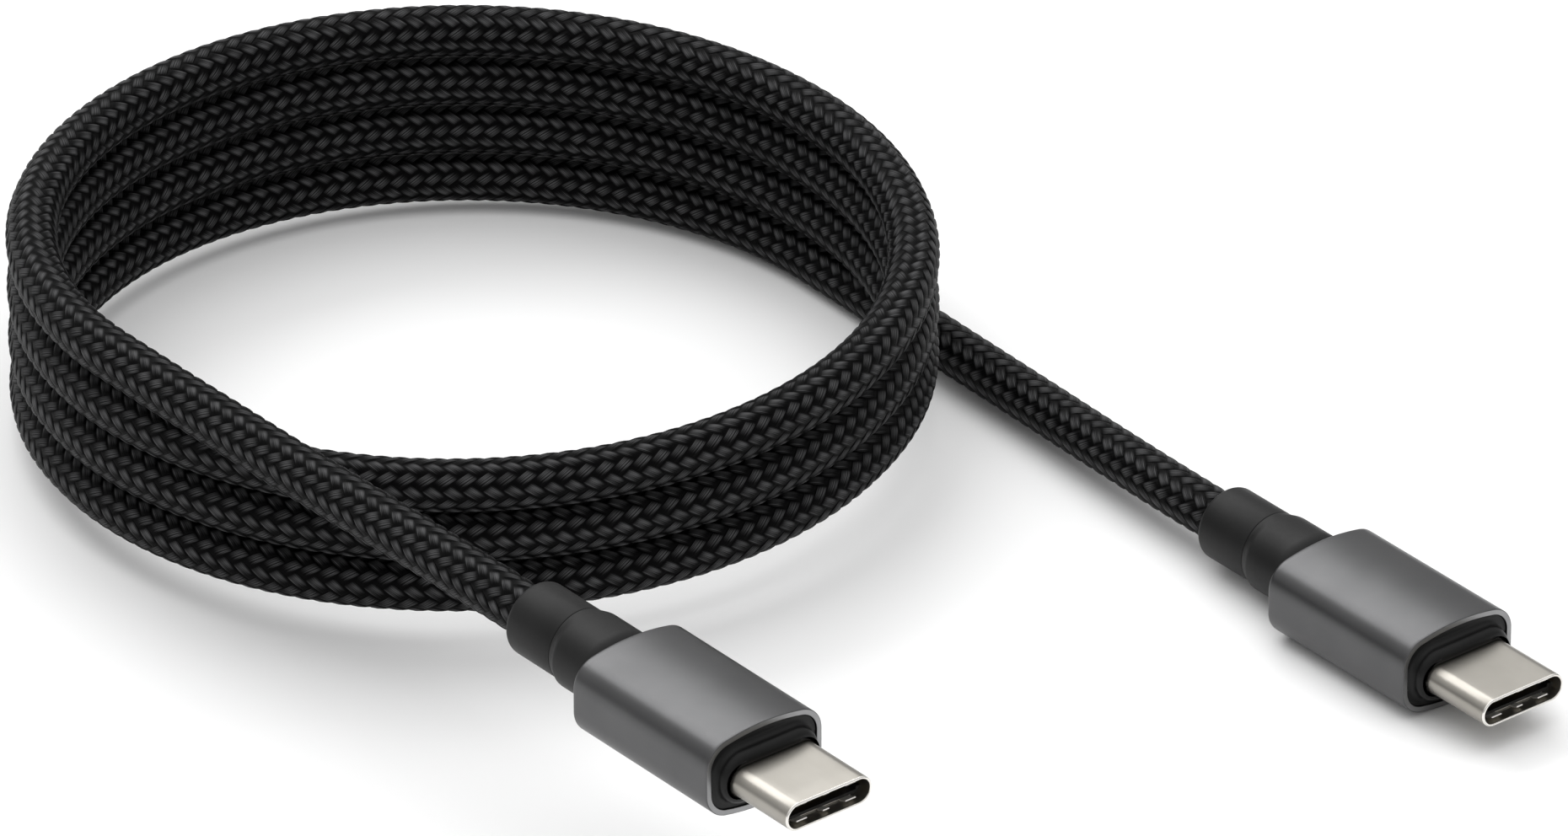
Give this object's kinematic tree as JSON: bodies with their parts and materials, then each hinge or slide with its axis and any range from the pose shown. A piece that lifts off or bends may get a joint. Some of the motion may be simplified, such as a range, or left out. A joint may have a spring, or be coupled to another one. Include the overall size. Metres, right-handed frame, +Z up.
{
  "type": "charging cable",
  "caption": "Braided charging cable wound in a stacked coil, with a reversible oval plug in a metal housing on each end.",
  "frame": {"origin": "on the surface the cable lies on, midway between the two plugs", "axes": "+X the way both plugs point, out of the cord; +Y from plug A to plug B; +Z up"},
  "size_m": [0.1276, 0.0772, 0.0214],
  "materials": {
    "braid": "braided nylon, satin",
    "plug_steel": "satin nickel plate",
    "insulator_plastic": "moulded",
    "contact_gold": "gold plate",
    "spring_steel": "bright strip",
    "board_laminate": "green solder mask",
    "capacitor_ceramic": "ceramic",
    "chip_black": "moulded",
    "can_steel": "tinned",
    "mould_plastic": "milky, low-gloss",
    "nose_plastic": "moulded, satin",
    "housing_aluminium": "grey anodised, satin",
    "boot_plastic": "moulded, matte",
    "ferrule_aluminium": "plain",
    "wire_red": "extruded",
    "wire_black": "extruded",
    "wire_green": "extruded",
    "wire_white": "extruded",
    "wire_blue": "extruded"
  },
  "bodies": {
    "cable": {"cord_coil": "braid", "cord_lead_a": "braid", "cord_lead_b": "braid", "plug_a_shell": "plug_steel", "plug_a_insulator": "insulator_plastic", "plug_a_upper_contacts": "contact_gold", "plug_a_lower_contacts": "contact_gold", "plug_a_upper_ground_spring": "spring_steel", "plug_a_lower_ground_spring": "spring_steel", "plug_a_paddle_board": "board_laminate", "plug_a_bypass_capacitor": "capacitor_ceramic", "plug_a_marker_chip": "chip_black", "plug_a_upper_shield_can": "can_steel", "plug_a_lower_shield_can": "can_steel", "plug_a_inner_mould": "mould_plastic", "plug_a_nose_insert": "nose_plastic", "plug_a_housing": "housing_aluminium", "plug_a_boot_neck": "boot_plastic", "plug_a_boot_sleeve": "boot_plastic", "plug_a_crimp_ferrule": "ferrule_aluminium", "plug_a_power_wire": "wire_red", "plug_a_ground_wire": "wire_black", "plug_a_data_plus_wire": "wire_green", "plug_a_data_minus_wire": "wire_white", "plug_a_sense_wire": "wire_blue", "plug_b_shell": "plug_steel", "plug_b_insulator": "insulator_plastic", "plug_b_upper_contacts": "contact_gold", "plug_b_lower_contacts": "contact_gold", "plug_b_upper_ground_spring": "spring_steel", "plug_b_lower_ground_spring": "spring_steel", "plug_b_paddle_board": "board_laminate", "plug_b_bypass_capacitor": "capacitor_ceramic", "plug_b_upper_shield_can": "can_steel", "plug_b_lower_shield_can": "can_steel", "plug_b_inner_mould": "mould_plastic", "plug_b_nose_insert": "nose_plastic", "plug_b_housing": "housing_aluminium", "plug_b_boot_neck": "boot_plastic", "plug_b_boot_sleeve": "boot_plastic", "plug_b_crimp_ferrule": "ferrule_aluminium", "plug_b_power_wire": "wire_red", "plug_b_ground_wire": "wire_black", "plug_b_data_plus_wire": "wire_green", "plug_b_data_minus_wire": "wire_white", "plug_b_sense_wire": "wire_blue"},
    "plug_a_left_latch_arm": {"plug_a_left_latch": "spring_steel"},
    "plug_a_right_latch_arm": {"plug_a_right_latch": "spring_steel"},
    "plug_b_left_latch_arm": {"plug_b_left_latch": "spring_steel"},
    "plug_b_right_latch_arm": {"plug_b_right_latch": "spring_steel"}
  },
  "joints": [
    {"name": "plug_a_left_latch_flex", "type": "hinge", "parent": "cable", "child": "plug_a_left_latch_arm", "pos_m": [0.0046, -0.02959, 0.01778], "axis": [0, 0, 1], "range_deg": [0, 1.8], "stiffness_Nm_per_rad": 0.007},
    {"name": "plug_a_right_latch_flex", "type": "hinge", "parent": "cable", "child": "plug_a_right_latch_arm", "pos_m": [0.0046, -0.03649, 0.01778], "axis": [0, 0, -1], "range_deg": [0, 1.8], "stiffness_Nm_per_rad": 0.007},
    {"name": "plug_b_left_latch_flex", "type": "hinge", "parent": "cable", "child": "plug_b_left_latch_arm", "pos_m": [0.00815, 0.03649, 0.00363], "axis": [0, 0, 1], "range_deg": [0, 1.8], "stiffness_Nm_per_rad": 0.007},
    {"name": "plug_b_right_latch_flex", "type": "hinge", "parent": "cable", "child": "plug_b_right_latch_arm", "pos_m": [0.00815, 0.02959, 0.00363], "axis": [0, 0, -1], "range_deg": [0, 1.8], "stiffness_Nm_per_rad": 0.007}
  ]
}
